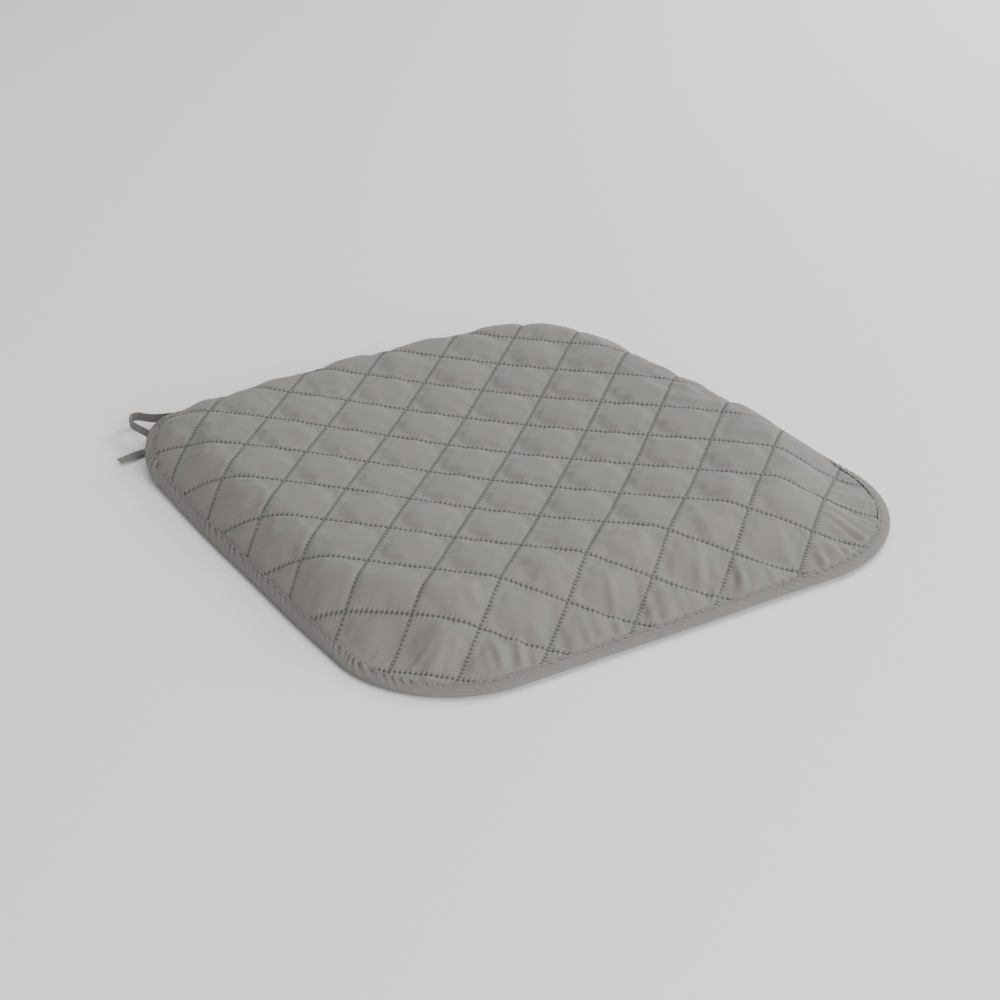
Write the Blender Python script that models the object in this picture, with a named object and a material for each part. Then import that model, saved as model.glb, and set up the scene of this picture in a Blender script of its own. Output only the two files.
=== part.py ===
"""Quilted chair seat pad, as the separate pieces it is sewn from.

Frame: metres, +Z up, origin on the surface the pad lies on, under its middle.
+X is to the right seen from the front, and +Y is towards the back, where the ties are.
Every layer follows one outline and one cross-section. "Inset" is the distance in from
the outer edge of the binding. All the sizes below are in millimetres.
"""
import math

import bmesh
import bpy
import numpy as np
from mathutils import Vector
from mathutils.bvhtree import BVHTree

MM = 0.001

# Plan outline: a square with round corners and bowed edges, a little narrower at the back.
FRONT_WIDTH = 401.0
BACK_WIDTH = 360.0
DEPTH = 402.0
FRONT_CORNER_RADIUS = 88.0
BACK_CORNER_RADIUS = 78.0
FRONT_BOW = 1.5
BACK_BOW = 17.0
SIDE_BOW = 5.0

# Cloths and the room that neighbouring layers keep between them.
GAP = 0.3
COVER_THICKNESS = 0.8
TAPE_THICKNESS = 0.8
WADDING_THICKNESS = 4.0

# Edge: the two covers lie flat together inside the fold of the binding.
EDGE_FLOAT = 2.4
BINDING_WIDTH = 8.6
FOLD_DEPTH = 1.6
ROOM_IN_FOLD = 0.8

# Cross-section of the padded part.
LOFT_RISE = 25.0
DISH = 5.0
SIDE_ROLL = 18.0
FRONT_ROLL = 66.0
SIDE_FULLNESS = 0.8
FRONT_FULLNESS = 1.4
UNDERSIDE_ROLL = 50.0

# Quilting: two sets of parallel seams, square to each other. The angle is in degrees, from
# the front edge to the seams that run back to the right; the offsets are each set's nearest
# seam from the middle.
SEAM_PITCH = 42.0
SEAM_ANGLE = 43.2
FORWARD_SEAM_OFFSET = -2.5
BACKWARD_SEAM_OFFSET = 9.5
THREAD_WIDTH = 0.9
THREAD_HEIGHT = 0.5
THREAD_STEP = 2.5
THREAD_REACH = 1.3
THREAD_CROSSING_ROOM = 0.6
THREAD_FLATNESS = 0.08
SHORTEST_SEAM = 40.0

# Stitching of the binding.
STITCH_INSET = 6.8
STITCH_WIDTH = 0.9

# Ties: flat tape, one pair at each back corner.
TIE_WIDTH = 6.5
TACK_LENGTH = 8.0
TACK_WIDTH = 2.2
TACK_HEIGHT = 0.6

# How finely the outline is divided.
EDGE_STEPS = 6
CORNER_STEPS = 7

# Places round a point of a thread where the cover is felt, so that the thread clears it.
THREAD_FOOT = [(THREAD_REACH * x, THREAD_REACH * y) for x in (-1, 0, 1) for y in (-1, 0, 1)]

# Heights of the layers in the fold of the binding, from below.
BINDING_BOTTOM = EDGE_FLOAT
LOWER_FLANGE = BINDING_BOTTOM + TAPE_THICKNESS + GAP
UPPER_FLANGE = LOWER_FLANGE + COVER_THICKNESS + GAP
SEAM_HEIGHT = UPPER_FLANGE + COVER_THICKNESS
BINDING_TOP = SEAM_HEIGHT + GAP + TAPE_THICKNESS
SEAM_INSET = BINDING_WIDTH + GAP

# Stations up the padded side, from the binding's edge (0) to the crest (1).
SIDE_STATIONS = (0.0, 0.12, 0.32, 0.60, 1.0)
FRONT_STATIONS = (0.0, 0.25, 0.40, 0.65, 1.0)
# Stations of the flatter middle, as a share of the way from the centre to the crest.
MIDDLE_STATIONS = (0.68, 0.36)
# Stations under the pad, from the binding's edge (0) to where it lies flat (1).
UNDER_STATIONS = (0.0, 0.35, 0.7, 1.0)

# Routes of the ties: points chosen along each tape's middle line, with the lean of its
# width from lying flat (0) to standing on edge (1).
LEFT_LOOP_ROUTE = (
    (-169.6, 182.1, 9.0, 1.0), (-170.9, 188.2, 9.0, 1.0), (-172.0, 195.0, 8.6, 1.0),
    (-172.6, 202.0, 7.8, 1.0), (-172.4, 208.5, 7.0, 1.0), (-171.0, 214.5, 6.4, 1.0),
    (-167.8, 219.0, 6.1, 1.0), (-163.0, 219.0, 6.0, 1.0), (-159.0, 214.5, 5.9, 1.0),
    (-153.5, 210.5, 5.6, 1.0), (-145.0, 209.5, 5.0, 0.8), (-134.0, 211.5, 3.4, 0.5),
    (-120.0, 215.5, 1.6, 0.15), (-100.0, 219.5, 0.8, 0.0), (-75.0, 221.5, 0.8, 0.0),
    (-50.0, 222.5, 0.8, 0.0), (-25.0, 223.0, 0.8, 0.0), (0.0, 223.0, 0.8, 0.0),
)
LEFT_TAIL_ROUTE = (
    (-40.0, 205.0, 0.8, 0.0), (-60.0, 204.0, 0.8, 0.0), (-80.0, 202.0, 0.8, 0.0),
    (-100.0, 199.0, 0.8, 0.0), (-120.0, 194.5, 0.8, 0.0), (-138.0, 188.5, 0.8, 0.0),
    (-153.0, 182.0, 0.8, 0.0), (-164.0, 178.3, 0.9, 0.0), (-171.0, 176.0, 1.2, 0.0),
    (-177.0, 174.2, 1.9, 0.05), (-184.0, 171.9, 2.6, 0.1), (-191.0, 169.8, 2.9, 0.1),
    (-198.5, 168.3, 2.8, 0.1),
)
RIGHT_OUTER_ROUTE = (
    (158.0, 201.0, 4.0, 0.0), (148.0, 207.0, 2.6, 0.0), (135.0, 212.0, 1.2, 0.0),
    (118.0, 216.5, 0.8, 0.0), (98.0, 219.5, 0.8, 0.0), (75.0, 221.5, 0.8, 0.0),
    (55.0, 222.5, 0.8, 0.0), (35.0, 223.0, 0.8, 0.0), (15.0, 223.0, 0.8, 0.0),
)
RIGHT_TAIL_ROUTE = (
    (40.0, 205.0, 0.8, 0.0), (60.0, 204.0, 0.8, 0.0), (80.0, 202.0, 0.8, 0.0),
    (100.0, 198.0, 0.8, 0.0), (118.0, 191.5, 0.8, 0.0), (134.0, 183.0, 0.8, 0.0),
    (148.0, 172.5, 0.8, 0.0), (159.0, 160.0, 0.8, 0.0), (167.0, 146.0, 0.8, 0.0),
    (172.0, 131.0, 0.8, 0.0), (174.0, 115.0, 0.8, 0.0),
)
# Where along the back edge each tie is tacked, left to right.
TACK_PLACES = {"left_outer": -158.0, "left_inner": -45.0, "right_inner": 45.0, "right_outer": 158.0}

MICROFIBRE = ((0.28, 0.27, 0.25), 0.75)
LINING = ((0.22, 0.21, 0.20), 0.85)
WADDING = ((0.85, 0.84, 0.80), 0.95)
FOAM = ((0.88, 0.84, 0.66), 0.90)
THREAD = ((0.20, 0.19, 0.18), 0.60)


def clear_scene():
    for item in list(bpy.data.objects):
        bpy.data.objects.remove(item)


def material(name, look):
    colour, roughness = look
    made = bpy.data.materials.new(name)
    made.use_nodes = True
    shader = made.node_tree.nodes["Principled BSDF"]
    shader.inputs["Base Color"].default_value = (*colour, 1.0)
    shader.inputs["Roughness"].default_value = roughness
    shader.inputs["Metallic"].default_value = 0.0
    return made


def add_object(name, points, faces, look):
    """One closed solid from points in millimetres, with its faces pointing out."""
    mesh = bpy.data.meshes.new(name)
    mesh.from_pydata([tuple(float(c) * MM for c in p) for p in points], [], faces)
    work = bmesh.new()
    work.from_mesh(mesh)
    bmesh.ops.recalc_face_normals(work, faces=work.faces)
    work.to_mesh(mesh)
    work.free()
    mesh.shade_smooth()
    mesh.set_sharp_from_angle(angle=math.radians(50))
    mesh.materials.append(material(name, look))
    made = bpy.data.objects.new(name, mesh)
    bpy.context.scene.collection.objects.link(made)
    return made


# ---------------------------------------------------------------- outline

def bowed_edge(start, end, bow):
    """Centre and radius of the arc that leaves a straight edge by its bow, outwards."""
    along = end - start
    length = np.hypot(*along)
    outward = np.array([along[1], -along[0]]) / length
    radius = (length * length / 4.0 + bow * bow) / (2.0 * bow)
    return (start + end) / 2.0 - outward * (radius - bow), radius


def corner_centre(first, second, corner_radius, corner):
    """Centre of the corner's arc, which touches both bowed edges from inside."""
    (c1, r1), (c2, r2) = first, second
    r1, r2 = r1 - corner_radius, r2 - corner_radius
    between = c2 - c1
    distance = np.hypot(*between)
    along = (distance * distance + r1 * r1 - r2 * r2) / (2.0 * distance)
    across = math.sqrt(r1 * r1 - along * along)
    foot = c1 + between / distance * along
    side = np.array([-between[1], between[0]]) / distance * across
    return min((foot + side, foot - side), key=lambda p: np.hypot(*(p - corner)))


def arc(centre, radius, start, end, steps):
    """Points and outward directions along the shorter arc between two points."""
    first = math.atan2(*(start - centre)[::-1])
    last = math.atan2(*(end - centre)[::-1])
    turn = (last - first + math.pi) % (2.0 * math.pi) - math.pi
    angles = first + turn * np.arange(steps) / steps
    out = np.stack([np.cos(angles), np.sin(angles)], axis=1)
    return centre + radius * out, out


def outline():
    """Points once round the outer edge from the front left, and their outward directions."""
    front, back = FRONT_WIDTH / 2.0, BACK_WIDTH / 2.0
    near = -DEPTH / 2.0
    far = DEPTH / 2.0
    corners = [np.array(c) for c in ((-front, near), (front, near), (back, far), (-back, far))]
    bows = (FRONT_BOW, SIDE_BOW, BACK_BOW, SIDE_BOW)
    radii = (FRONT_CORNER_RADIUS, FRONT_CORNER_RADIUS, BACK_CORNER_RADIUS, BACK_CORNER_RADIUS)
    edges = [bowed_edge(corners[i], corners[(i + 1) % 4], bows[i]) for i in range(4)]
    centres = [corner_centre(edges[i - 1], edges[i], radii[i], corners[i]) for i in range(4)]

    def touch(edge, corner):
        towards = centres[corner] - edges[edge][0]
        return edges[edge][0] + towards / np.hypot(*towards) * edges[edge][1]

    points, outs = [], []
    for i in range(4):
        after = (i + 1) % 4
        for piece in (arc(centres[i], radii[i], touch(i - 1, i), touch(i, i), CORNER_STEPS),
                      arc(*edges[i], touch(i, i), touch(i, after), EDGE_STEPS)):
            points.append(piece[0])
            outs.append(piece[1])
    points = np.concatenate(points)
    middle = (points[:, 1].max() + points[:, 1].min()) / 2.0
    return points - [0.0, middle], np.concatenate(outs)


EDGE, OUT = outline()
# 1 where the edge faces the front, 0 at the sides and back, smooth between.
FRONTNESS = np.clip(-OUT[:, 1], 0.0, 1.0) ** 2
ROLL = SIDE_ROLL + (FRONT_ROLL - SIDE_ROLL) * FRONTNESS
FULLNESS = SIDE_FULLNESS + (FRONT_FULLNESS - SIDE_FULLNESS) * FRONTNESS


def ring(inset, height):
    """One ring of points at an inset and a height, each the same all round or not."""
    inset = np.broadcast_to(inset, len(EDGE))
    height = np.broadcast_to(height, len(EDGE))
    return np.column_stack([EDGE - OUT * inset[:, None], height])


# ---------------------------------------------------------------- cross-section

def station(index):
    return SIDE_STATIONS[index] + (FRONT_STATIONS[index] - SIDE_STATIONS[index]) * FRONTNESS


def crown(t):
    """Inset and height of the cover's outer face at t: a power of a sine, steep at the side."""
    return SEAM_INSET + ROLL * t, SEAM_HEIGHT + LOFT_RISE * np.sin(math.pi / 2.0 * t) ** FULLNESS


def crown_ring(index, depth):
    """The ring at a station, moved in from the cover's outer face by a depth."""
    t = station(index)
    inset, height = crown(t)
    step = 0.01
    inset_2, height_2 = crown(np.minimum(t + step, 1.0))
    inset_1, height_1 = crown(np.maximum(t - step, 0.0))
    run, rise = inset_2 - inset_1, height_2 - height_1
    length = np.hypot(run, rise)
    return ring(inset + depth * rise / length, height - depth * run / length)


def middle_rings(depth):
    """Rings from the crest in to the centre, which sinks by the dish."""
    crest = crown_ring(len(SIDE_STATIONS) - 1, depth)
    centre = crest.mean(axis=0)
    top = SEAM_HEIGHT + LOFT_RISE - depth
    rings = []
    for share in MIDDLE_STATIONS:
        made = centre + (crest - centre) * share
        made[:, 2] = top - DISH * (1.0 - share ** 2)
        rings.append(made)
    return rings, np.array([centre[0], centre[1], top - DISH])


def dome(first, depth):
    """Rings from station `first` up and in to the centre, and the centre point."""
    rings = [crown_ring(i, depth) for i in range(first, len(SIDE_STATIONS))]
    inner, pole = middle_rings(depth)
    return rings + inner, pole


def under_height(inset):
    """Height of the bottom cover's lower face: flat in the middle, rising to the edge."""
    share = np.clip((inset - SEAM_INSET) / UNDERSIDE_ROLL, 0.0, 1.0)
    return LOWER_FLANGE * (1.0 - share) ** 2


# ---------------------------------------------------------------- solids

def wall_faces(start_a, start_b, count, a_is_outer=True):
    """Triangles between two rings of the same count that start at the given numbers.

    Each diagonal leads from a point of the outer ring to the next point of the inner one,
    so that two layers that lie on each other are folded along the same lines.
    """
    faces = []
    for i in range(count):
        j = (i + 1) % count
        a, a_next, b, b_next = start_a + i, start_a + j, start_b + i, start_b + j
        if a_is_outer:
            faces += [(a, a_next, b_next), (a, b_next, b)]
        else:
            faces += [(a, a_next, b), (a_next, b_next, b)]
    return faces


def lies_outside(first, second):
    """Whether the first of two rings has the longer way round."""
    first, second = (np.linalg.norm(np.roll(r[:, :2], -1, axis=0) - r[:, :2], axis=1).sum()
                     for r in (first, second))
    return bool(first >= second)


def capped_solid(name, rings, first_pole, last_pole, look):
    """A solid whose skin runs from one pole, through every ring, to the other pole."""
    count = len(rings[0])
    points = [first_pole] + [p for one in rings for p in one] + [last_pole]
    last = len(points) - 1
    faces = [(0, 1 + (i + 1) % count, 1 + i) for i in range(count)]
    for k in range(len(rings) - 1):
        outer_first = lies_outside(rings[k], rings[k + 1])
        faces += wall_faces(1 + k * count, 1 + (k + 1) * count, count, outer_first)
    end = 1 + (len(rings) - 1) * count
    faces += [(last, end + i, end + (i + 1) % count) for i in range(count)]
    return add_object(name, points, faces, look)


def hoop_solid(name, section, look):
    """A closed section of (inset, height) pairs carried once round the outline."""
    rings = [ring(inset, height) for inset, height in section]
    count = len(EDGE)
    points = [p for one in rings for p in one]
    faces = []
    for k in range(len(rings)):
        following = (k + 1) % len(rings)
        outer_first = lies_outside(rings[k], rings[following])
        faces += wall_faces(k * count, following * count, count, outer_first)
    return add_object(name, points, faces, look)


def strip_solid(name, middles, sides, ups, look):
    """A closed strip: a rectangle with half-sizes `sides` and `ups` at each middle point."""
    points = []
    for m, s, u in zip(middles, sides, ups):
        points += [m - s - u, m + s - u, m + s + u, m - s + u]
    faces = [(0, 1, 2, 3)]
    for k in range(len(middles) - 1):
        faces += wall_faces(4 * k, 4 * k + 4, 4)
    end = 4 * (len(middles) - 1)
    faces.append((end + 3, end + 2, end + 1, end))
    return add_object(name, points, faces, look)


# ---------------------------------------------------------------- pieces

def make_top_cover():
    """Cover of the top: a dome with a flat flange that the binding holds."""
    outer, top = dome(0, 0.0)
    inner, under_top = dome(1, COVER_THICKNESS)
    turn = ring(SEAM_INSET + COVER_THICKNESS * (1.0 - FRONTNESS), UPPER_FLANGE)
    flange = [ring(FOLD_DEPTH, SEAM_HEIGHT), ring(FOLD_DEPTH, UPPER_FLANGE), turn]
    return capped_solid("quilted_top_cover", outer[::-1] + flange + inner, top, under_top, MICROFIBRE)


def make_wadding():
    """Soft layer that the quilting catches, a shell open below."""
    depth = COVER_THICKNESS + GAP
    outer, top = dome(1, depth)
    inner, under_top = dome(1, depth + WADDING_THICKNESS)
    return capped_solid("top_wadding", outer[::-1] + inner, top, under_top, WADDING)


def make_foam():
    """Foam slab: its top follows the wadding, and its edge drops straight to the lining."""
    rings, top = dome(2, COVER_THICKNESS + WADDING_THICKNESS + 2.0 * GAP)
    rim = rings[0]
    inset = np.einsum("ij,ij->i", EDGE - rim[:, :2], OUT)
    clearance = COVER_THICKNESS + GAP
    floor = [ring(inset, under_height(inset) + clearance)]
    flat = np.maximum(inset, SEAM_INSET + UNDERSIDE_ROLL) + 1.0
    half = (inset + flat) / 2.0
    floor.append(ring(half, under_height(half) + clearance + 0.5))
    floor.append(ring(flat, clearance + 0.5))
    pole = np.array([0.0, 0.0, clearance + 0.5])
    return capped_solid("foam_core", rings[::-1] + floor, top, pole, FOAM)


def make_bottom_cover():
    """Lining of the underside: flat where it rests, rising to its flange in the binding."""
    below = [ring(FOLD_DEPTH, LOWER_FLANGE)]
    above = [ring(FOLD_DEPTH, LOWER_FLANGE + COVER_THICKNESS)]
    for share in UNDER_STATIONS:
        inset = SEAM_INSET + UNDERSIDE_ROLL * share
        below.append(ring(inset, under_height(inset)))
        above.append(ring(inset, under_height(inset) + COVER_THICKNESS))
    pole_above = np.array([0.0, 0.0, COVER_THICKNESS])
    return capped_solid("bottom_cover", above[::-1] + below, pole_above, np.zeros(3), LINING)


def make_binding():
    """Binding tape folded over the edge of both covers, a U lying on its side."""
    thick = TAPE_THICKNESS
    low, high = BINDING_BOTTOM, BINDING_TOP
    section = (
        (BINDING_WIDTH, high), (thick, high), (0.0, high - thick), (0.0, low + thick),
        (thick, low), (BINDING_WIDTH, low), (BINDING_WIDTH, low + thick),
        (FOLD_DEPTH - GAP, low + thick), (ROOM_IN_FOLD, low + 1.6 * thick),
        (ROOM_IN_FOLD, high - 1.6 * thick), (FOLD_DEPTH - GAP, high - thick),
        (BINDING_WIDTH, high - thick),
    )
    return hoop_solid("edge_binding", section, MICROFIBRE)


def make_binding_stitching():
    """Row of stitches along the binding's inner edge, above and below."""
    for name, base in (("binding_stitching_top", BINDING_TOP + GAP),
                       ("binding_stitching_under", BINDING_BOTTOM - GAP - THREAD_HEIGHT)):
        first, last = STITCH_INSET - STITCH_WIDTH / 2.0, STITCH_INSET + STITCH_WIDTH / 2.0
        section = ((first, base), (last, base), (last, base + THREAD_HEIGHT), (first, base + THREAD_HEIGHT))
        hoop_solid(name, section, THREAD)


def surface_tree(cover):
    work = bmesh.new()
    work.from_mesh(cover.data)
    bmesh.ops.triangulate(work, faces=work.faces)
    tree = BVHTree.FromBMesh(work)
    work.free()
    return tree


def height_on(tree, x, y):
    """Height of the cover's outer face over a point, in millimetres."""
    hit = tree.ray_cast(Vector((x * MM, y * MM, 1.0)), Vector((0.0, 0.0, -1.0)))
    return hit[0].z / MM


def foot_heights(tree, places):
    """Greatest height of the cover within a thread's reach of each point."""
    return np.array([max(height_on(tree, *(p + shift)) for shift in THREAD_FOOT) for p in places])


def inside(points, inset):
    """Whether each point lies inside the outline moved in by an inset."""
    edge = EDGE - OUT * inset
    following = np.roll(edge, -1, axis=0)
    x, y = points[:, 0:1], points[:, 1:2]
    crosses = (edge[:, 1] > y) != (following[:, 1] > y)
    slope = (following[:, 0] - edge[:, 0]) / (following[:, 1] - edge[:, 1] + 1e-12)
    return (crosses & (x < edge[:, 0] + (y - edge[:, 1]) * slope)).sum(axis=1) % 2 == 1


def needed(heights, first, last, keep):
    """Marks the fewest points that keep a line's heights within THREAD_FLATNESS."""
    count = last - first
    if count < 2:
        return
    straight = heights[first] + (heights[last] - heights[first]) * np.arange(count + 1) / count
    off = np.abs(heights[first:last + 1] - straight)
    worst = int(off.argmax())
    if off[worst] > THREAD_FLATNESS:
        keep[first + worst] = True
        needed(heights, first, first + worst, keep)
        needed(heights, first + worst, last, keep)


def make_seam(name, tree, along, offset, crossing, lift):
    """One quilting thread: a strip that lies `lift` above the cover from edge to edge.

    Its points fall on the crossings with the other set of seams, and its two sides follow
    the cover's slope, so that threads that cross stay parallel there.
    """
    across = np.array([-along[1], along[0]])
    steps = math.ceil(SEAM_PITCH / THREAD_STEP)
    reach = steps * math.ceil((FRONT_WIDTH + DEPTH) / 2.0 / SEAM_PITCH)
    runs = crossing + SEAM_PITCH / steps * np.arange(-reach, reach + 1)
    places = across * offset + along * runs[:, None]
    places = places[inside(places, SEAM_INSET + 2.0)]
    if len(places) * SEAM_PITCH / steps < SHORTEST_SEAM:
        return
    half = across * THREAD_WIDTH / 2.0
    left, right = (foot_heights(tree, places + side) for side in (half, -half))
    heights = (left + right) / 2.0
    keep = np.zeros(len(places), bool)
    keep[[0, -1]] = True
    needed(heights, 0, len(places) - 1, keep)
    middles = np.column_stack([places, heights + lift + THREAD_HEIGHT / 2.0])[keep]
    sides = np.column_stack([np.tile(half, (len(places), 1)), (left - right) / 2.0])[keep]
    up = np.array([0.0, 0.0, THREAD_HEIGHT / 2.0])
    strip_solid(name, middles, sides, [up] * len(middles), THREAD)


def make_quilting(cover):
    """The seams that run forward to the right lie over those that run back to the right."""
    tree = surface_tree(cover)
    cos, sin = math.cos(math.radians(SEAM_ANGLE)), math.sin(math.radians(SEAM_ANGLE))
    back, forward = np.array([cos, sin]), np.array([sin, -cos])
    over = GAP + THREAD_HEIGHT + THREAD_CROSSING_ROOM
    sets = (
        ("quilting_seam_back", back, FORWARD_SEAM_OFFSET, BACKWARD_SEAM_OFFSET, GAP),
        ("quilting_seam_forward", forward, BACKWARD_SEAM_OFFSET, -FORWARD_SEAM_OFFSET, over),
    )
    for name, along, offset, crossing, lift in sets:
        count = int((FRONT_WIDTH + DEPTH) / 2.0 / SEAM_PITCH) + 1
        number = 0
        for k in range(-count, count + 1):
            label = f"{name}_{number + 1:02d}"
            make_seam(label, tree, along, offset + k * SEAM_PITCH, crossing, lift)
            number += label in bpy.data.objects


def smooth_route(route, steps):
    """Points on a smooth curve through the route (Catmull-Rom), `steps` to each stretch."""
    points = np.array(route)
    ends = np.vstack([2.0 * points[0] - points[1], points, 2.0 * points[-1] - points[-2]])
    t = (np.arange(steps) / steps)[:, None]
    made = []
    for a, b, c, d in zip(ends, ends[1:], ends[2:], ends[3:]):
        made.append(0.5 * (2.0 * b + (c - a) * t + (2.0 * a - 5.0 * b + 4.0 * c - d) * t ** 2
                           + (3.0 * b - a - 3.0 * c + d) * t ** 3))
    return np.vstack(made + [points[-1:]])


def make_tie(name, route):
    """Flat tape along a route; its width turns from level to upright with the lean."""
    line = smooth_route(route, 3)
    middles = line[:, :3]
    along = np.gradient(middles, axis=0)
    along /= np.linalg.norm(along, axis=1)[:, None]
    level = np.cross(along, [0.0, 0.0, 1.0])
    level /= np.linalg.norm(level, axis=1)[:, None]
    upright = np.cross(level, along)
    turn = (line[:, 3] * math.pi / 2.0)[:, None]
    width = level * np.cos(turn) + upright * np.sin(turn)
    thickness = np.cross(width, along)
    strip_solid(name, middles, width * TIE_WIDTH / 2.0, thickness * TAPE_THICKNESS / 2.0, MICROFIBRE)


def make_tack(name, place):
    """Bar of close stitches over the binding where a tie is sewn in."""
    back = np.flatnonzero(OUT[:, 1] > 0.3)
    nearest = back[np.abs(EDGE[back, 0] - place).argmin()]
    out = np.array([*OUT[nearest], 0.0])
    along = np.array([-out[1], out[0], 0.0])
    reach = STITCH_INSET - STITCH_WIDTH / 2.0 - GAP
    start = EDGE[nearest] - OUT[nearest] * TAPE_THICKNESS
    end = EDGE[nearest] - OUT[nearest] * min(reach, TAPE_THICKNESS + TACK_LENGTH)
    height = BINDING_TOP + GAP + TACK_HEIGHT / 2.0
    middles = np.array([[*start, height], [*end, height]])
    side, up = along * TACK_WIDTH / 2.0, np.array([0.0, 0.0, TACK_HEIGHT / 2.0])
    strip_solid(name, middles, [side] * 2, [up] * 2, THREAD)


def main():
    clear_scene()
    cover = make_top_cover()
    make_wadding()
    make_foam()
    make_bottom_cover()
    make_binding()
    make_binding_stitching()
    make_quilting(cover)
    make_tie("tie_left_loop", LEFT_LOOP_ROUTE)
    make_tie("tie_left_tail", LEFT_TAIL_ROUTE)
    make_tie("tie_right_outer", RIGHT_OUTER_ROUTE)
    make_tie("tie_right_tail", RIGHT_TAIL_ROUTE)
    for label, place in TACK_PLACES.items():
        make_tack(f"tie_tack_{label}", place)


main()
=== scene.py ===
"""Quilted chair seat pad: the sewn surfaces, stitches, binding tape and ties, on the fixed frame.

Metres, +Z up, +Y towards the back, where the ties are. Sizes written in millimetres are
multiplied by MM where they are used.
"""
import math

import bmesh
import bpy
import numpy as np
from mathutils import Euler, Matrix, Vector


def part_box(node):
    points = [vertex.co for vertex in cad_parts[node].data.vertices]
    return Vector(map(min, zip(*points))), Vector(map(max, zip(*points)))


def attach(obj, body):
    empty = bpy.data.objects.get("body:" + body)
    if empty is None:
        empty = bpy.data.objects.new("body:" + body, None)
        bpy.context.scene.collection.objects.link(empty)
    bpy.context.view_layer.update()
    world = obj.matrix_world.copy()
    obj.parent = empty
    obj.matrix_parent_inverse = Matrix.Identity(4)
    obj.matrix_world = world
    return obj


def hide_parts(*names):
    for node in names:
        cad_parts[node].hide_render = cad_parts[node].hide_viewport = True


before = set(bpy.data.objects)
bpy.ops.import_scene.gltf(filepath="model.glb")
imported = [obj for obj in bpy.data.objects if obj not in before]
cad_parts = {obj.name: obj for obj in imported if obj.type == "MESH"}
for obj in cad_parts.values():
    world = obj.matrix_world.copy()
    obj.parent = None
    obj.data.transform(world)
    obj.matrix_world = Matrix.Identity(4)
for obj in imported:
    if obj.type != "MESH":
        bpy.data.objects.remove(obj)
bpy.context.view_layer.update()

MM = 0.001

# ------------------------------------------------------------------ camera

CAMERA_PLACE = Vector((-0.6882, -1.1355, 0.7064))
CAMERA_AZIMUTH = -31.17
CAMERA_ELEVATION = 28.26
CAMERA_ROLL = -0.52
CAMERA_LENS_MM = 82.3
SENSOR_MM = 36.0


def add_camera():
    data = bpy.data.cameras.new("camera")
    data.lens = CAMERA_LENS_MM
    data.sensor_width = SENSOR_MM
    data.sensor_fit = "HORIZONTAL"
    made = bpy.data.objects.new("camera", data)
    aim = Euler((math.radians(90.0 - CAMERA_ELEVATION), 0.0, math.radians(CAMERA_AZIMUTH)))
    turn = aim.to_matrix() @ Matrix.Rotation(math.radians(CAMERA_ROLL), 3, "Z")
    made.matrix_world = Matrix.LocRotScale(CAMERA_PLACE, turn.to_quaternion(), None)
    bpy.context.scene.collection.objects.link(made)
    bpy.context.scene.camera = made


# ------------------------------------------------------------------ meshes

def new_object(name, points, faces, uv=None):
    """A smooth object at the origin from points and a list or array of faces; one uv per point."""
    mesh = bpy.data.meshes.new(name)
    faces = faces if isinstance(faces, list) else faces.tolist()
    mesh.from_pydata(np.asarray(points, float).tolist(), [], faces)
    if uv is not None:
        layer = mesh.uv_layers.new(name="UVMap")
        corner = np.empty(len(mesh.loops), np.int32)
        mesh.loops.foreach_get("vertex_index", corner)
        layer.data.foreach_set("uv", np.asarray(uv, np.float32)[corner].ravel())
    mesh.polygons.foreach_set("use_smooth", [True] * len(mesh.polygons))
    made = bpy.data.objects.new(name, mesh)
    bpy.context.scene.collection.objects.link(made)
    return made


def grid_faces(rows, columns, wrap_rows=False, wrap_columns=False):
    """Quads of a grid whose points are numbered along its rows."""
    r = np.arange(rows if wrap_rows else rows - 1)[:, None]
    c = np.arange(columns if wrap_columns else columns - 1)[None, :]
    r_next, c_next = (r + 1) % rows, (c + 1) % columns
    quads = np.stack([r * columns + c, r_next * columns + c,
                      r_next * columns + c_next, r * columns + c_next], -1)
    return quads.reshape(-1, 4)


def many_copies(template, faces, places, x_axes, y_axes, z_axes):
    """One small shape set down at many places: its points times each place's three axes."""
    points = (places[:, None, :] + template[None, :, 0:1] * x_axes[:, None, :]
              + template[None, :, 1:2] * y_axes[:, None, :] + template[None, :, 2:3] * z_axes[:, None, :])
    shift = np.arange(len(places))[:, None, None] * len(template)
    return points.reshape(-1, 3), (faces[None] + shift).reshape(-1, faces.shape[1])


def face_out(obj):
    """Turns the normals of a closed mesh outwards."""
    work = bmesh.new()
    work.from_mesh(obj.data)
    bmesh.ops.recalc_face_normals(work, faces=work.faces)
    work.to_mesh(obj.data)
    work.free()


def add_modifier(obj, kind, **settings):
    made = obj.modifiers.new(kind.lower(), kind)
    for name, value in settings.items():
        setattr(made, name, value)


def unit(vectors):
    return vectors / np.maximum(np.linalg.norm(vectors, axis=-1, keepdims=True), 1e-12)


def waves(x, y, seed, count, shortest, longest):
    """Sum of `count` plane waves with seeded directions, lengths and phases, about -1 to 1."""
    rng = np.random.default_rng(seed)
    total = np.zeros_like(x, dtype=float)
    for _ in range(count):
        length = rng.uniform(shortest, longest)
        angle = rng.uniform(0.0, 2.0 * math.pi)
        phase = rng.uniform(0.0, 2.0 * math.pi)
        total += np.sin((x * math.cos(angle) + y * math.sin(angle)) * 2.0 * math.pi / length + phase)
    return total / math.sqrt(count)


# ------------------------------------------------------------------ outline (millimetres)

# The sewn edge is a little askew: its front sits to the right of its back, and its corners
# are cut unevenly. Corners go round from the front left.
CORNERS = ((-191.2, -210.0), (209.8, -210.0), (170.4, 195.3), (-189.5, 189.5))
CORNER_RADII = (77.0, 98.0, 98.0, 80.0)
EDGE_BOWS = (0.8, 7.4, 18.0, 3.5)
OUTLINE_POINTS = 1440


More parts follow.
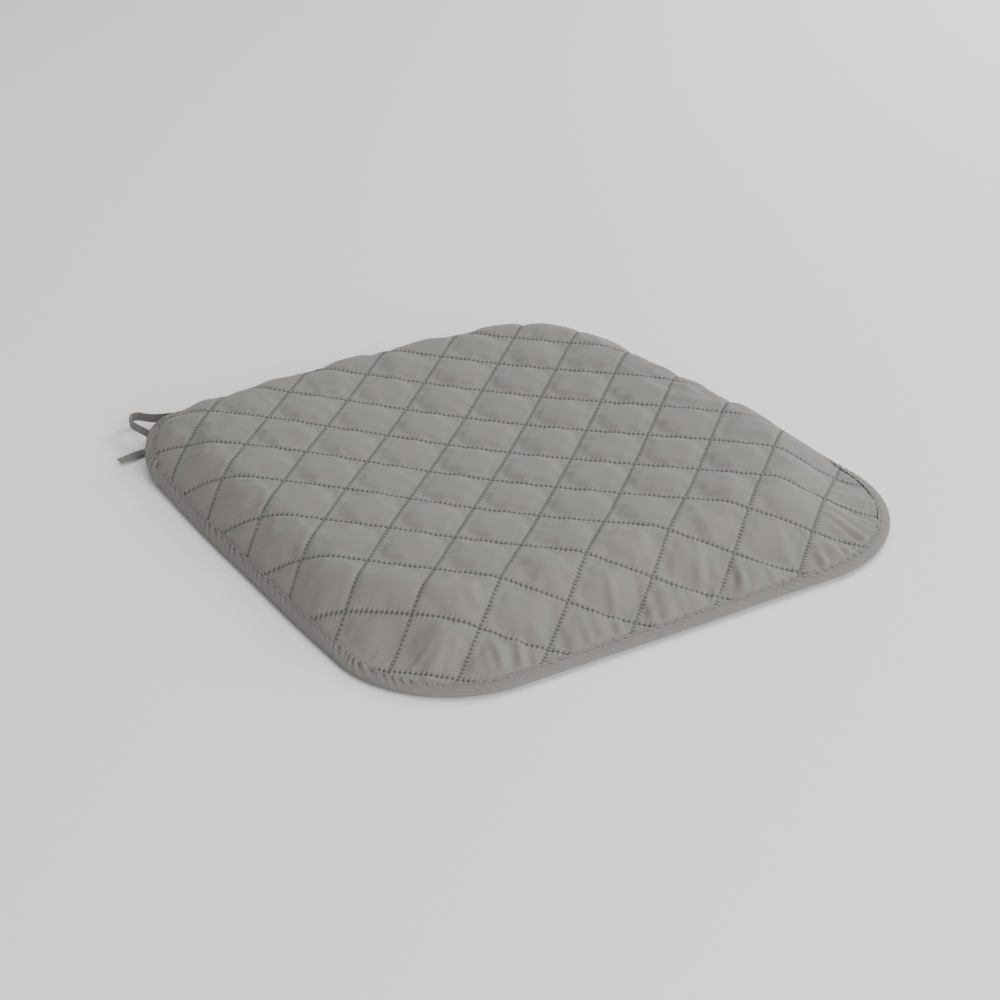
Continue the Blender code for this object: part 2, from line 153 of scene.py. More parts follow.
def arc_points(centre, radius, start, end, count):
    first = math.atan2(start[1] - centre[1], start[0] - centre[0])
    last = math.atan2(end[1] - centre[1], end[0] - centre[0])
    turn = (last - first + math.pi) % (2.0 * math.pi) - math.pi
    angles = first + turn * np.arange(count) / count
    out = np.stack([np.cos(angles), np.sin(angles)], 1)
    return centre + radius * out, out


def make_outline():
    """Outer edge of the binding: four long arcs, each pair joined by a round corner inside both."""
    corners = [np.array(c) for c in CORNERS]
    edges = []
    for i in range(4):
        a, b, bow = corners[i], corners[(i + 1) % 4], EDGE_BOWS[i]
        length = np.hypot(*(b - a))
        outward = np.array([(b - a)[1], -(b - a)[0]]) / length
        radius = (length ** 2 / 4.0 + bow ** 2) / (2.0 * bow)
        edges.append(((a + b) / 2.0 - outward * (radius - bow), radius))
    centres = []
    for i in range(4):
        (c1, r1), (c2, r2) = edges[i - 1], edges[i]
        r1, r2 = r1 - CORNER_RADII[i], r2 - CORNER_RADII[i]
        between = c2 - c1
        distance = np.hypot(*between)
        along = (distance ** 2 + r1 ** 2 - r2 ** 2) / (2.0 * distance)
        side = np.array([-between[1], between[0]]) / distance * math.sqrt(r1 ** 2 - along ** 2)
        foot = c1 + between / distance * along
        centres.append(min((foot + side, foot - side), key=lambda p: np.hypot(*(p - corners[i]))))

    def touch(edge, corner):
        towards = centres[corner] - edges[edge][0]
        return edges[edge][0] + towards / np.hypot(*towards) * edges[edge][1]

    points, outs = [], []
    for i in range(4):
        after = (i + 1) % 4
        count = OUTLINE_POINTS // 4
        corner_piece = arc_points(centres[i], CORNER_RADII[i], touch(i - 1, i), touch(i, i), count)
        edge_piece = arc_points(*edges[i], touch(i, i), touch(i, after), count)
        for piece in (corner_piece, edge_piece):
            points.append(piece[0])
            outs.append(piece[1])
    points, outs = np.concatenate(points), np.concatenate(outs)
    steps = np.hypot(*(np.roll(points, -1, 0) - points).T)
    travelled = np.concatenate([[0.0], np.cumsum(steps)])
    wanted = travelled[-1] * np.arange(OUTLINE_POINTS) / OUTLINE_POINTS
    closed_points, closed_outs = np.vstack([points, points[:1]]), np.vstack([outs, outs[:1]])
    even = np.stack([np.interp(wanted, travelled, closed_points[:, k]) for k in (0, 1)], 1)
    even_out = unit(np.stack([np.interp(wanted, travelled, closed_outs[:, k]) for k in (0, 1)], 1))
    return even, even_out, wanted, travelled[-1]


EDGE, OUT, EDGE_LENGTH_AT, EDGE_LENGTH = make_outline()

# ------------------------------------------------------------------ cross-section (millimetres)

binding_low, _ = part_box("edge_binding")
BINDING_WIDTH = 8.6
BINDING_THICKNESS = 2.4
# Height of the middle of the binding's outer fold, and of the top away from the bowl.
FOLD_HEIGHT = binding_low[2] / MM + 0.7
CREST_HEIGHT = 28.5
# The middle is drawn down by the quilting in a shallow bowl, a little right of centre.
BOWL_DEPTH = 5.5
BOWL_CENTRE = (15.0, 26.0)
BOWL_HALF = (126.0, 170.0)
# The binding stands up with the padded side, by an angle in degrees, steeply at the sides and
# back. The padding then rises to the crest over a width, from a starting steepness. All three
# ease towards the front, and a little sooner at the right.
SIDE_TILT, FRONT_TILT = 44.0, 20.0
SIDE_WIDTH, FRONT_WIDTH = 35.0, 80.0
SIDE_START, FRONT_START = 2.0, 0.25
EASE_START, EASE_LENGTH = -85.0, 70.0
RIGHT_EASE, RIGHT_EASE_FROM = 0.2, 60.0
# The cloth is drawn back a little over the long slope at the front.
DRAWN_FROM, DRAWN_SHARE = -100.0, 0.07
# One corner of the edge is drawn up where its ties are sewn in, and the side sags beside it.
LIFTED_CORNER = (-168.0, 183.5)
CORNER_LIFT = 13.0
LIFT_REACH = 46.0
LIFTED_TILT_LOST = 0.55
SAG_PLACE = (-172.0, 135.0)
SAG_REACH = 25.0
SAG_SHARE = 0.25

# The quilting: the distance between seams, the angle of one set from +X, where each set starts,
# and the distance from stitch to stitch.
SEAM_PITCH = 42.0
SEAM_ANGLE = 43.2
FORWARD_OFFSET = -2.5
BACKWARD_OFFSET = 9.5
STITCH = 3.2


def nearest_edge(points):
    """For each point: how far inside the outline it is, the outward direction, and where along it."""
    which = np.empty(len(points), int)
    batch = 4000
    for start in range(0, len(points), batch):
        gap = ((points[start:start + batch, None, :] - EDGE[None]) ** 2).sum(-1)
        which[start:start + batch] = gap.argmin(1)
    # The foot of the normal between two outline points: shift along the edge's direction.
    inset = -((points - EDGE[which]) * OUT[which]).sum(1)
    along = np.stack([-OUT[which, 1], OUT[which, 0]], 1)
    slip = ((points - EDGE[which]) * along).sum(1)
    step = EDGE_LENGTH / OUTLINE_POINTS
    part = np.clip(slip / step, -0.5, 0.5)
    other = (which + np.sign(part).astype(int)) % OUTLINE_POINTS
    out = unit(OUT[which] * (1.0 - np.abs(part))[:, None] + OUT[other] * np.abs(part)[:, None])
    return inset, out, EDGE_LENGTH_AT[which] + part * step


def bump_at(points, place, reach):
    """A round hump of height 1 at a place in plan: exp(-(distance / reach)^2)."""
    return np.exp(-((points - np.array(place)) ** 2).sum(1) / reach ** 2)


def corner_lift(points):
    """How far the edge is drawn up where the ties are sewn in."""
    return CORNER_LIFT * bump_at(points, LIFTED_CORNER, LIFT_REACH)


def softness(points):
    """0 where the edge is steep, at the left and back, to 1 where it is gentle, at the front."""
    x, y = points[:, 0], points[:, 1]
    y_eased = EASE_START - y + RIGHT_EASE * np.maximum(x - RIGHT_EASE_FROM, 0.0)
    share = np.clip(y_eased / EASE_LENGTH, 0.0, 1.0)
    return share * share * (3.0 - 2.0 * share)


def binding_tilt(points):
    """How steeply the binding stands, in radians: it lies flatter in the lifted corner."""
    soft = softness(points)
    tilt = np.radians(SIDE_TILT + (FRONT_TILT - SIDE_TILT) * soft)
    return tilt * (1.0 - LIFTED_TILT_LOST * bump_at(points, LIFTED_CORNER, LIFT_REACH))


def cloth_place(points):
    """Where points of the cloth lie on the padded shape, and how far each is under the binding.

    Under the binding the cloth follows its tilt. From the binding's inner edge it rises to the
    crest by a cubic: p(u) = start * (u^3 - 2u^2 + u) + 3u^2 - 2u^3, u the share of the width.
    """
    place = points.copy()
    place[:, 1] += DRAWN_SHARE * np.maximum(DRAWN_FROM - points[:, 1], 0.0)
    inset, _, _ = nearest_edge(place)
    soft, tilt = softness(place), binding_tilt(place)
    foot_inset = BINDING_WIDTH * np.cos(tilt)
    fold_height = FOLD_HEIGHT + corner_lift(place)
    foot_height = fold_height + BINDING_WIDTH * np.sin(tilt)
    u = np.clip((inset - foot_inset) / (SIDE_WIDTH + (FRONT_WIDTH - SIDE_WIDTH) * soft), 0.0, 1.0)
    start = SIDE_START + (FRONT_START - SIDE_START) * soft
    share = start * (u ** 3 - 2.0 * u ** 2 + u) + 3.0 * u ** 2 - 2.0 * u ** 3
    share = share * (1.0 - SAG_SHARE * bump_at(place, SAG_PLACE, SAG_REACH))
    across = np.clip(1.0 - ((place[:, 0] - BOWL_CENTRE[0]) / BOWL_HALF[0]) ** 2, 0.0, 1.0)
    along = np.clip(1.0 - ((place[:, 1] - BOWL_CENTRE[1]) / BOWL_HALF[1]) ** 2, 0.0, 1.0)
    height = foot_height + (CREST_HEIGHT - foot_height) * share - BOWL_DEPTH * (across * along) ** 1.3
    under = np.maximum(foot_inset - inset, 0.0)
    height = np.where(under > 0.0, fold_height + inset * np.tan(tilt), height)
    return np.column_stack([place, height]), under


def seam_axes(a, b):
    """Flat cloth coordinates to plan: `a` counts across the seams that run back to the right."""
    cos, sin = math.cos(math.radians(SEAM_ANGLE)), math.sin(math.radians(SEAM_ANGLE))
    return np.stack([b * cos - a * sin, a * cos + b * sin], -1)


# ------------------------------------------------------------------ quilted top

CELL_STEPS = 16
# How much of the cloth under the binding is made.
FLANGE_KEPT = 7.0
# Height of the pillows between the seams, and the share of it that they have before the filling.
PILLOW_HEIGHT = 3.0
PILLOW_START = 0.6
# The filling: spare length of the cloth, its inner pressure, and how far a point may move.
SLACK = 0.02
PRESSURE = 4.0
CLOTH_CAP = 6.0
CLOTH_FRAMES = 20
# Folds beside the binding: length, share of the height, and how much the length wanders.
GATHER_WAVES = ((11.3, 1.0, 2.6), (7.4, 0.7, 3.1), (17.0, 0.5, -1.7))
# How much of the folds is left right at a seam.
FOLDS_AT_SEAM = 0.35


def cloth_grid():
    """Points and quads of the cloth, on a grid in line with its seams and cut at the flange."""
    step = SEAM_PITCH / CELL_STEPS
    reach = 8 * CELL_STEPS
    steps = np.arange(-reach, reach + 1)
    i, j = np.meshgrid(steps, steps, indexing="ij")
    a = FORWARD_OFFSET + i.ravel() * step
    b = BACKWARD_OFFSET + j.ravel() * step
    place, flange = cloth_place(seam_axes(a, b))
    kept = (flange < FLANGE_KEPT).reshape(i.shape)
    quads = grid_faces(len(steps), len(steps))
    whole = kept.ravel()[quads].all(1)
    quads = quads[whole]
    used = np.unique(quads)
    number = np.full(i.size, -1)
    number[used] = np.arange(len(used))
    quads = number[quads][:, ::-1]
    return place[used], quads, a[used], b[used], i.ravel()[used], j.ravel()[used], flange[used]


def normals_of(points, quads):
    """Point normals: the summed cross products of the quads' diagonals."""
    a, b, c, d = (points[quads[:, k]] for k in range(4))
    face = np.cross(c - a, d - b)
    total = np.zeros_like(points)
    for k in range(4):
        np.add.at(total, quads[:, k], face)
    return unit(total)


def between_seams(a, b):
    """0 on a seam to 1 in the middle of a cell: |sin| across one set times |sin| across the other."""
    across = np.abs(np.sin(math.pi * (a - FORWARD_OFFSET) / SEAM_PITCH))
    down = np.abs(np.sin(math.pi * (b - BACKWARD_OFFSET) / SEAM_PITCH))
    return across * down


def gathers(points):
    """Height of the folds that run in from the binding, in millimetres.

    Waves along the edge, leaning a little, whose lengths wander about 7, 11 and 17 mm. They are
    strongest just inside the binding and die away inwards: strength * exp(-inset / depth).
    """
    inset, out, s = nearest_edge(points)
    front = np.clip(-out[:, 1], 0.0, 1.0) ** 2
    right = np.clip(out[:, 0], 0.0, 1.0) ** 2 * front * 4.0
    depth = 13.0 + 9.0 * front
    strength = 0.5 + 2.1 * front + 2.0 * right
    bite = np.clip((inset - BINDING_WIDTH - 0.5) / 4.0, 0.0, 1.0)
    lean = s - 0.35 * inset
    uneven = waves(s, 0.4 * inset, 21, 6, 40.0, 140.0)
    wave = sum(share * np.sin(2.0 * math.pi * lean / length + wander * uneven)
               for length, share, wander in GATHER_WAVES)
    patchy = 0.55 + 0.45 * waves(s, inset, 22, 5, 30.0, 90.0)
    fade = np.exp(-np.maximum(inset - BINDING_WIDTH, 0.0) / depth)
    return strength * bite * fade * wave * patchy


def drags(points):
    """Long curved creases where the cloth is pulled over the turn of the left side, in millimetres."""
    x, y = points.T
    inset, out, _ = nearest_edge(points)
    side = np.clip(-out[:, 0], 0.0, 1.0) ** 2
    band = np.exp(-((inset - 34.0) / 15.0) ** 2)
    bent = y + 0.55 * (x + 150.0) - 0.004 * (x + 150.0) ** 2
    wave = np.sin(2.0 * math.pi * bent / 9.0 + 2.2 * waves(x, y, 31, 5, 60.0, 160.0))
    patchy = 0.6 + 0.4 * waves(x, y, 32, 5, 40.0, 110.0)
    return 0.6 * side * band * np.maximum(wave, -0.4) * patchy


def dents(points):
    """Soft uneven hollows of the slack cloth between the seams, in millimetres."""
    x, y = points.T
    return 0.42 * waves(x, y, 41, 9, 16.0, 34.0) + 0.30 * waves(x, y, 42, 7, 34.0, 80.0)


def wrinkle(obj, a, b, flange):
    """Moves the cloth along its normals by the hollows and folds, which fade at every seam."""
    count = len(obj.data.vertices)
    points, normals = np.empty(count * 3), np.empty(count * 3)
    obj.data.vertices.foreach_get("co", points)
    obj.data.vertices.foreach_get("normal", normals)
    points, normals = points.reshape(-1, 3), normals.reshape(-1, 3)
    inside = flange <= 0.0
    free = np.sqrt(between_seams(a, b)) * inside
    plan = points[:, :2] / MM
    folded = (FOLDS_AT_SEAM + (1.0 - FOLDS_AT_SEAM) * free) * inside
    move = free * dents(plan) + folded * (gathers(plan) + drags(plan))
    obj.data.vertices.foreach_set("co", (points + normals * (move * MM)[:, None]).ravel())


def make_top():
    """The quilted cloth: the padded shape with a pillow in each cell, filled, then folded."""
    points, quads, a, b, i, j, flange = cloth_grid()
    normal = normals_of(points, quads)
    if normal[:, 2].mean() < 0:
        quads = quads[:, ::-1]
        normal = -normal
    sewn = (i % CELL_STEPS == 0) | (j % CELL_STEPS == 0) | (flange > 0.0)
    puff = np.sqrt(between_seams(a, b)) * np.where(flange > 0.0, 0.0, 1.0)
    start = PILLOW_START
    points = points + normal * (puff * PILLOW_HEIGHT * start)[:, None]
    uv = np.stack([(a - FORWARD_OFFSET) / SEAM_PITCH, (b - BACKWARD_OFFSET) / SEAM_PITCH], 1)
    top = new_object("quilted_top", points * MM, quads, uv)
    inflate(top, sewn)
    wrinkle(top, a, b, flange)
    crease_seams(top, i, j)
    add_modifier(top, "SUBSURF", levels=1, render_levels=1)
    return top


def inflate(top, sewn):
    """Fills the quilted cells: the seams are held, and pressure swells the slack cloth between."""
    group = top.vertex_groups.new(name="sewn")
    group.add(np.flatnonzero(sewn).tolist(), 1.0, "REPLACE")
    cloth = top.modifiers.new("filling", "CLOTH")
    settings = cloth.settings
    settings.vertex_group_mass = "sewn"
    settings.pin_stiffness = 50.0
    settings.use_pressure = True
    settings.uniform_pressure_force = PRESSURE
    settings.effector_weights.gravity = 0.0
    settings.shrink_min = -SLACK
    settings.shrink_max = -SLACK
    settings.mass = 0.15
    settings.quality = 5
    settings.tension_stiffness = 15.0
    settings.compression_stiffness = 15.0
    settings.shear_stiffness = 5.0
    settings.bending_stiffness = 0.05
    settings.air_damping = 2.0
    cloth.collision_settings.use_collision = False
    cloth.point_cache.frame_start = 1
    cloth.point_cache.frame_end = CLOTH_FRAMES
    scene = bpy.context.scene
    before = np.empty(len(top.data.vertices) * 3)
    top.data.vertices.foreach_get("co", before)
    for number in range(1, CLOTH_FRAMES + 1):
        scene.frame_set(number)
    evaluated = top.evaluated_get(bpy.context.evaluated_depsgraph_get())
    after = np.empty_like(before)
    evaluated.data.vertices.foreach_get("co", after)
    before, after = before.reshape(-1, 3), after.reshape(-1, 3)
    move = (after - before) * np.where(sewn, 0.0, 1.0)[:, None]
    size = np.linalg.norm(move, axis=1)
    cap = CLOTH_CAP * MM
    move *= (np.minimum(size, cap) / np.maximum(size, 1e-9))[:, None]
    top.modifiers.remove(cloth)
    top.data.vertices.foreach_set("co", (before + move).ravel())
    top.vertex_groups.clear()
    scene.frame_set(1)


def crease_seams(top, i, j):
    """Marks the quilted lines as creases, so that subdivision keeps them as narrow valleys."""
    mesh = top.data
    ends = np.empty(len(mesh.edges) * 2, np.int32)
    mesh.edges.foreach_get("vertices", ends)
    ends = ends.reshape(-1, 2)
    on_line = (((i[ends] % CELL_STEPS == 0).all(1) & (i[ends[:, 0]] == i[ends[:, 1]]))
               | ((j[ends] % CELL_STEPS == 0).all(1) & (j[ends[:, 0]] == j[ends[:, 1]])))
    crease = mesh.attributes.new("crease_edge", "FLOAT", "EDGE")
    crease.data.foreach_set("value", np.where(on_line, 1.0, 0.0).astype(np.float32))


# ------------------------------------------------------------------ stitches

STITCH_LENGTH = 2.1
STITCH_THICKNESS = 0.7
STITCH_RISE = 0.35
SHORTEST_SEAM = 80.0


def stitch_template(around=6, along=5):
    """One stitch, one long and one thick: a bent grain whose ends dip below the cloth."""
    t = (np.arange(along) + 0.5) / along
    angle = 2.0 * math.pi * np.arange(around) / around
    radius = 0.5 * np.sin(math.pi * t) ** 0.45
    x = (t - 0.5)[:, None] * np.ones(around)
    y = radius[:, None] * np.cos(angle)
    z = radius[:, None] * np.sin(angle) - (2.0 * (t - 0.5) ** 2)[:, None]
    body = np.stack([x, y, z], -1).reshape(-1, 3)
    ends = np.array([[-0.5, 0.0, -0.5], [0.5, 0.0, -0.5]])
    points = np.vstack([body, ends])
    quads = grid_faces(along, around, wrap_columns=True)
    triangles = []
    for k in range(around):
        after = (k + 1) % around
        triangles.append((k, after, len(body)))
        last = (along - 1) * around
        triangles.append((last + after, last + k, len(body) + 1))
    return points, quads, np.array(triangles)


def make_stitches(name, places, tangents, normals, thickness=STITCH_THICKNESS, length=STITCH_LENGTH):
    """One object of many stitches, each at a place, along a tangent and square to a normal."""
    points, quads, triangles = stitch_template()
    tangents = unit(tangents)
    sides = unit(np.cross(normals, tangents))
    normals = np.cross(tangents, sides)
    axes = (tangents * length, sides * thickness, normals * thickness)
    made_points, made_quads = many_copies(points, quads, places, *axes)
    _, made_triangles = many_copies(points, triangles, places, *axes)
    return new_object(name, made_points * MM, made_quads.tolist() + made_triangles.tolist())


def seam_line(direction, k):
    """Places, directions and normals of the stitches along one quilted seam."""
    reach = 8 * SEAM_PITCH
    run = np.arange(-reach, reach, STITCH) + STITCH / 2.0
    fixed = np.full_like(run, k * SEAM_PITCH)
    if direction == "a":
        a, b = FORWARD_OFFSET + fixed, BACKWARD_OFFSET + run
    else:
        a, b = FORWARD_OFFSET + run, BACKWARD_OFFSET + fixed
    flat = seam_axes(a, b)
    place, flange = cloth_place(flat)
    step = seam_axes(*((np.zeros_like(run), np.full_like(run, 0.5)) if direction == "a"
                       else (np.full_like(run, 0.5), np.zeros_like(run))))
    ahead, _ = cloth_place(flat + step)
    behind, _ = cloth_place(flat - step)
    side = np.stack([-step[:, 1], step[:, 0]], 1)
    left, _ = cloth_place(flat + side)
    right, _ = cloth_place(flat - side)
    tangent = unit(ahead - behind)
    normal = unit(np.cross(tangent, left - right))
    normal *= np.sign(normal[:, 2:3])
    kept = (flange <= 0.0) & (np.sum(flange <= 0.0) * STITCH >= SHORTEST_SEAM)
    return place[kept], tangent[kept], normal[kept]


def make_quilting_stitches(direction):
    """The thread of one set of seams, "a" or "b"."""
    seams = [seam_line(direction, k) for k in range(-7, 8)]
    places, tangents, normals = (np.concatenate(parts) for parts in zip(*seams))
    return make_stitches(f"quilting_stitches_{direction}", places + normals * STITCH_RISE, tangents, normals)


# ------------------------------------------------------------------ binding

BINDING_STITCH_INSET = 7.0
STITCH_SUNK = 0.86
# The bar tack of the lifted corner: where it is, how many stitches to each side, and their size.
TACK_PLACE = (-165.0, 181.5)
TACK_REACH = 6
TACK_INSET = 4.3
TACK_LENGTH = 7.0
TACK_THICKNESS = 0.9


def binding_section():
    """Closed section of the folded tape: distance in from the fold, and distance off its middle."""
    half, width = BINDING_THICKNESS / 2.0, BINDING_WIDTH
    leg = np.array([
        (0.3, 0.75), (0.9, 1.0), (2.0, 1.12), (3.4, 1.14), (4.8, 1.1), (5.8, 1.04), (6.5, 0.94),
        (BINDING_STITCH_INSET, 0.76), (7.5, 0.9), (8.0, 1.02), (width - 0.12, 0.95),
        (width + 0.05, 0.7)]) * (1.0, half)
    outer = np.vstack([leg[::-1], [(0.0, 0.0)], leg * (1.0, -1.0)])
    inner_leg = np.array([(width - 0.4, 0.35), (5.0, 0.45), (2.0, 0.5)]) * (1.0, half)
    inner = np.vstack([inner_leg * (1.0, -1.0), [(1.1, 0.0)], inner_leg[::-1]])
    return np.vstack([outer, inner]), len(outer)


def on_binding(edge, out, inset, off):
    """Points at a distance in from the fold along the binding's tilt, and off its middle."""
    tilt = binding_tilt(edge)
    inward = inset * np.cos(tilt) - off * np.sin(tilt)
    plan = edge - out * inward[:, None]
    height = FOLD_HEIGHT + corner_lift(edge) + inset * np.sin(tilt) + off * np.cos(tilt)
    return np.column_stack([plan, height])


def pucker(s, inset):
    """Small slanted ridges of the tape, about one to a stitch, that fade towards its fold."""
    uneven = waves(s, inset * 0.0, 11, 6, 25.0, 90.0)
    wave = np.sin(2.0 * math.pi * (s + 0.9 * inset) / STITCH + 1.2 * uneven)
    slower = np.sin(2.0 * math.pi * (s + 1.3 * inset) / (STITCH * 2.3) + 2.4 * uneven)
    reach = np.clip((inset - 0.5) / 6.0, 0.0, 1.0)
    return (0.24 * wave + 0.3 * slower * (1.0 + 0.8 * uneven)) * (0.3 + 0.7 * reach)


def make_binding():
    """The folded tape: its section carried round the edge, which wanders a little."""
    section, outer_count = binding_section()
    wander = 0.25 * waves(EDGE_LENGTH_AT, 0.0 * EDGE_LENGTH_AT, 5, 5, 60.0, 220.0)
    rings = []
    for k, (inset, off) in enumerate(section):
        ridge = pucker(EDGE_LENGTH_AT, np.full(len(EDGE), inset)) if k < outer_count else 0.0 * wander
        rings.append(on_binding(EDGE, OUT, inset + wander, off + np.sign(off) * ridge))
    points = np.stack(rings)
    perimeter = np.concatenate([[0.0], np.cumsum(np.hypot(*np.diff(section, axis=0).T))])
    uv = np.stack(np.broadcast_arrays(EDGE_LENGTH_AT[None, :], perimeter[:, None]), -1).reshape(-1, 2)
    faces = grid_faces(len(section), len(EDGE), wrap_rows=True, wrap_columns=True)
    made = new_object("edge_binding_tape", points.reshape(-1, 3) * MM, faces, uv)
    face_out(made)
    return made


def make_corner_tack():
    """Bar tack of the lifted corner: stitches side by side over the binding, along its slope."""
    middle = int(np.argmin(np.hypot(*(EDGE - TACK_PLACE).T)))
    rows = middle + np.arange(-TACK_REACH, TACK_REACH + 1)
    edge, out, count = EDGE[rows], unit(OUT[rows]), len(rows)
    tilt = binding_tilt(edge)[:, None]
    above = np.full(count, BINDING_THICKNESS / 2.0 + 0.2)
    places = on_binding(edge, out, np.full(count, TACK_INSET), above)
    tangents = np.column_stack([-out * np.cos(tilt), np.sin(tilt)])
    normals = np.column_stack([out * np.sin(tilt), np.cos(tilt)])
    return make_stitches("left_corner_tack", places, tangents, normals, TACK_THICKNESS, TACK_LENGTH)


def make_binding_stitches(name, side):
    """A row of stitches round the binding, on its upper face (side 1) or lower face (side -1)."""
    count = int(EDGE_LENGTH / STITCH)
    at = EDGE_LENGTH * np.arange(count) / count
    lengths = np.append(EDGE_LENGTH_AT, EDGE_LENGTH)
    edge, out = (
        np.stack([np.interp(at, lengths, np.append(ring[:, k], ring[0, k])) for k in (0, 1)], 1)
        for ring in (EDGE, OUT))
    out = unit(out)
    tilt = binding_tilt(edge)
    off = np.full(count, side * BINDING_THICKNESS / 2.0 * STITCH_SUNK)
    places = on_binding(edge, out, np.full(count, BINDING_STITCH_INSET), off)
    tangents = np.column_stack([-out[:, 1], out[:, 0], np.zeros(count)])
    normals = np.column_stack([out * np.sin(tilt)[:, None], np.cos(tilt)]) * side
    return make_stitches(name, places, tangents, normals)


# ------------------------------------------------------------------ underside

LINING_REACH = 42.0
LINING_WAVE = 0.35
LINING_LOWEST = 0.05
LINING_THICKNESS = 0.4


def make_underside():
    """Lining: lies flat where the pad rests and rises to the binding, with faint slack waves.

    Rings from the binding inwards: height = (1 - share)^2 * binding height, share 0 to 1 over
    the reach, then flat rings that shrink to the middle.
    """
    inside_fold = np.full(len(EDGE), -0.3)
    under_binding = on_binding(EDGE, OUT, np.full(len(EDGE), 4.0), inside_fold)
    inner_edge = on_binding(EDGE, OUT, np.full(len(EDGE), BINDING_WIDTH), inside_fold)

    def slack(plan, share):
        wave = LINING_WAVE * waves(plan[:, 0], plan[:, 1], 3, 7, 40.0, 130.0) * share
        return np.maximum(wave + LINING_WAVE, LINING_LOWEST)

    rings = [under_binding]
    for share in np.linspace(0.0, 1.0, 18):
        plan = inner_edge[:, :2] - OUT * LINING_REACH * share
        height = inner_edge[:, 2] * (1.0 - share) ** 2 + slack(plan, share) * share
        rings.append(np.column_stack([plan, height]))
    rest, middle = rings[-1][:, :2], rings[-1][:, :2].mean(0)
    for share in np.linspace(0.08, 0.96, 14):
        plan = rest + (middle - rest) * share
        rings.append(np.column_stack([plan, slack(plan, 1.0)]))
    rings = np.stack(rings)[:, ::4]
    rows, columns = rings.shape[:2]
    points = np.vstack([rings.reshape(-1, 3), [[*middle, LINING_WAVE]]])
    last = (rows - 1) * columns
    faces = grid_faces(rows, columns, wrap_columns=True).tolist()
    faces += [(last + k, rows * columns, last + (k + 1) % columns) for k in range(columns)]
    made = new_object("bottom_lining", points * MM, faces)
    if sum(face.normal.z for face in made.data.polygons) > 0.0:
        made.data.flip_normals()
    add_modifier(made, "SOLIDIFY", thickness=LINING_THICKNESS * MM, offset=-1.0)
    return made


# ------------------------------------------------------------------ ties

TIE_WIDTH = 6.5
TIE_THICKNESS = 0.9
# Routes of the ties: points chosen along each tape's middle line, with the lean of its width
# from lying flat (0) to standing on edge (1).
LEFT_LOOP_ROUTE = (
    (-169.6, 182.1, 9.0, 1.0), (-170.9, 188.2, 9.0, 1.0), (-172.0, 195.0, 8.6, 1.0),
    (-172.6, 202.0, 7.8, 1.0), (-172.4, 208.5, 7.0, 1.0), (-171.0, 214.5, 6.4, 1.0),
    (-167.8, 219.0, 6.1, 1.0), (-163.0, 219.0, 6.0, 1.0), (-159.0, 214.5, 5.9, 1.0),
    (-153.5, 210.5, 5.6, 1.0), (-145.0, 209.5, 5.0, 0.8), (-134.0, 211.5, 3.4, 0.5),
    (-120.0, 215.5, 1.6, 0.15), (-100.0, 219.5, 0.8, 0.0), (-75.0, 221.5, 0.8, 0.0),
    (-50.0, 222.5, 0.8, 0.0), (-25.0, 223.0, 0.8, 0.0), (0.0, 223.0, 0.8, 0.0),
)
LEFT_TAIL_ROUTE = (
    (-40.0, 205.0, 0.8, 0.0), (-60.0, 204.0, 0.8, 0.0), (-80.0, 202.0, 0.8, 0.0),
    (-100.0, 199.0, 0.8, 0.0), (-120.0, 194.5, 0.8, 0.0), (-138.0, 188.5, 0.8, 0.0),
    (-153.0, 182.0, 0.8, 0.0), (-164.0, 178.3, 0.9, 0.0), (-171.0, 176.0, 1.2, 0.0),
    (-177.0, 174.2, 1.9, 0.05), (-184.0, 171.9, 2.6, 0.1), (-191.0, 169.8, 2.9, 0.1),
    (-198.5, 168.3, 2.8, 0.1),
)
RIGHT_OUTER_ROUTE = (
    (158.0, 201.0, 4.0, 0.0), (148.0, 207.0, 2.6, 0.0), (135.0, 212.0, 1.2, 0.0),
    (118.0, 216.5, 0.8, 0.0), (98.0, 219.5, 0.8, 0.0), (75.0, 221.5, 0.8, 0.0),
    (55.0, 222.5, 0.8, 0.0), (35.0, 223.0, 0.8, 0.0), (15.0, 223.0, 0.8, 0.0),
)
RIGHT_TAIL_ROUTE = (
    (40.0, 205.0, 0.8, 0.0), (60.0, 204.0, 0.8, 0.0), (80.0, 202.0, 0.8, 0.0),
    (100.0, 198.0, 0.8, 0.0), (118.0, 191.5, 0.8, 0.0), (134.0, 183.0, 0.8, 0.0),
    (148.0, 172.5, 0.8, 0.0), (159.0, 160.0, 0.8, 0.0), (167.0, 146.0, 0.8, 0.0),
    (172.0, 131.0, 0.8, 0.0), (174.0, 115.0, 0.8, 0.0),
)


def smooth_route(route, steps):
    """Points on a smooth curve through the route (Catmull-Rom), `steps` to each stretch."""
    points = np.array(route)
    ends = np.vstack([2.0 * points[0] - points[1], points, 2.0 * points[-1] - points[-2]])
    t = (np.arange(steps) / steps)[:, None]
    made = []
    for a, b, c, d in zip(ends, ends[1:], ends[2:], ends[3:]):
        made.append(0.5 * (2.0 * b + (c - a) * t + (2.0 * a - 5.0 * b + 4.0 * c - d) * t ** 2
                           + (3.0 * b - a - 3.0 * c + d) * t ** 3))
    return np.vstack(made + [points[-1:]])


